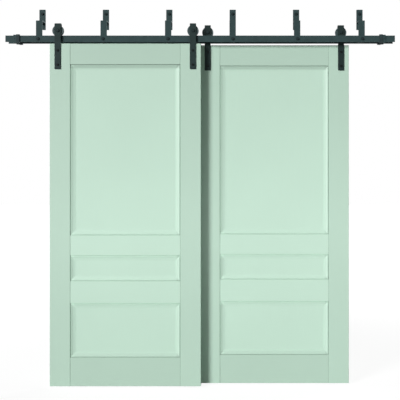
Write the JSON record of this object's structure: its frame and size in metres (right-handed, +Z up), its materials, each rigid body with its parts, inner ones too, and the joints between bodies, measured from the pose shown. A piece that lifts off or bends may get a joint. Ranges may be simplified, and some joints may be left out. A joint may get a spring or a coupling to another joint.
{
  "type": "bypass sliding barn door",
  "caption": "Bypass sliding barn door: panelled leaves hang by strap hangers and grooved wheels from flat steel tracks, held off the wall by step brackets and spacers.",
  "frame": {"origin": "on the wall plane, midway along the tracks and midway between the upper and lower rows of lag bolts", "axes": "+X along the tracks to the viewer's right, +Y into the wall, +Z up"},
  "size_m": [2.438, 0.204, 2.3767],
  "materials": {
    "leaf_paint": "satin paint, pale sage green",
    "black_steel": "fine matt powder coat",
    "fasteners": "black oxide, low sheen",
    "wheel_steel": "matt powder coat, bare tread",
    "bearing_steel": "ground steel",
    "bumper_rubber": "moulded matt rubber"
  },
  "bodies": {
    "frame": {"front_track": "black_steel", "back_track": "black_steel", "step_bracket_1": "black_steel", "step_bracket_2": "black_steel", "step_bracket_3": "black_steel", "step_bracket_4": "black_steel", "step_bracket_5": "black_steel", "step_bracket_6": "black_steel", "front_track_spacers": "fasteners", "back_track_spacers": "fasteners", "front_track_bolts": "fasteners", "front_track_nuts": "fasteners", "bracket_lag_bolts": "fasteners", "back_track_lag_bolts": "fasteners", "fixing_washers": "fasteners", "front_track_stops": "black_steel", "back_track_stops": "black_steel", "stop_bumpers": "bumper_rubber", "stop_grub_screws": "fasteners"},
    "front_leaf": {"front_leaf_left_stile": "leaf_paint", "front_leaf_right_stile": "leaf_paint", "front_leaf_top_rail": "leaf_paint", "front_leaf_upper_mid_rail": "leaf_paint", "front_leaf_lower_mid_rail": "leaf_paint", "front_leaf_bottom_rail": "leaf_paint", "front_leaf_upper_panel": "leaf_paint", "front_leaf_middle_panel": "leaf_paint", "front_leaf_lower_panel": "leaf_paint", "front_left_hanger": "black_steel", "front_right_hanger": "black_steel", "front_axle_bolts": "fasteners", "front_axle_nuts": "fasteners", "front_strap_bolts": "fasteners", "front_sleeve_nuts": "fasteners", "front_axle_spacers": "bearing_steel"},
    "front_left_wheel": {"front_left_wheel": "wheel_steel", "front_left_bearing": "bearing_steel"},
    "front_right_wheel": {"front_right_wheel": "wheel_steel", "front_right_bearing": "bearing_steel"},
    "back_leaf": {"back_leaf_left_stile": "leaf_paint", "back_leaf_right_stile": "leaf_paint", "back_leaf_top_rail": "leaf_paint", "back_leaf_upper_mid_rail": "leaf_paint", "back_leaf_lower_mid_rail": "leaf_paint", "back_leaf_bottom_rail": "leaf_paint", "back_leaf_upper_panel": "leaf_paint", "back_leaf_middle_panel": "leaf_paint", "back_leaf_lower_panel": "leaf_paint", "back_left_hanger": "black_steel", "back_right_hanger": "black_steel", "back_axle_bolts": "fasteners", "back_axle_nuts": "fasteners", "back_strap_bolts": "fasteners", "back_sleeve_nuts": "fasteners", "back_axle_spacers": "bearing_steel"},
    "back_left_wheel": {"back_left_wheel": "wheel_steel", "back_left_bearing": "bearing_steel"},
    "back_right_wheel": {"back_right_wheel": "wheel_steel", "back_right_bearing": "bearing_steel"}
  },
  "joints": [
    {"name": "front_leaf_slide", "type": "slide", "parent": "frame", "child": "front_leaf", "axis": [1, 0, 0], "range_m": [-0.2125, 1.1385]},
    {"name": "back_leaf_slide", "type": "slide", "parent": "frame", "child": "back_leaf", "axis": [1, 0, 0], "range_m": [-1.1465, 0.2045]},
    {"name": "front_left_wheel_spin", "type": "hinge", "parent": "front_leaf", "child": "front_left_wheel", "pos_m": [-0.889, -0.118, -0.03915], "axis": [0, 1, 0], "continuous": true},
    {"name": "front_right_wheel_spin", "type": "hinge", "parent": "front_leaf", "child": "front_right_wheel", "pos_m": [-0.045, -0.118, -0.03915], "axis": [0, 1, 0], "continuous": true},
    {"name": "back_left_wheel_spin", "type": "hinge", "parent": "back_leaf", "child": "back_left_wheel", "pos_m": [0.045, -0.05, -0.03915], "axis": [0, 1, 0], "continuous": true},
    {"name": "back_right_wheel_spin", "type": "hinge", "parent": "back_leaf", "child": "back_right_wheel", "pos_m": [0.889, -0.05, -0.03915], "axis": [0, 1, 0], "continuous": true}
  ],
  "couplings": [
    {"joint": "front_left_wheel_spin", "follows": "front_leaf_slide", "rad_per_m": 34.483},
    {"joint": "front_right_wheel_spin", "follows": "front_leaf_slide", "rad_per_m": 34.483},
    {"joint": "back_left_wheel_spin", "follows": "back_leaf_slide", "rad_per_m": 34.483},
    {"joint": "back_right_wheel_spin", "follows": "back_leaf_slide", "rad_per_m": 34.483}
  ]
}
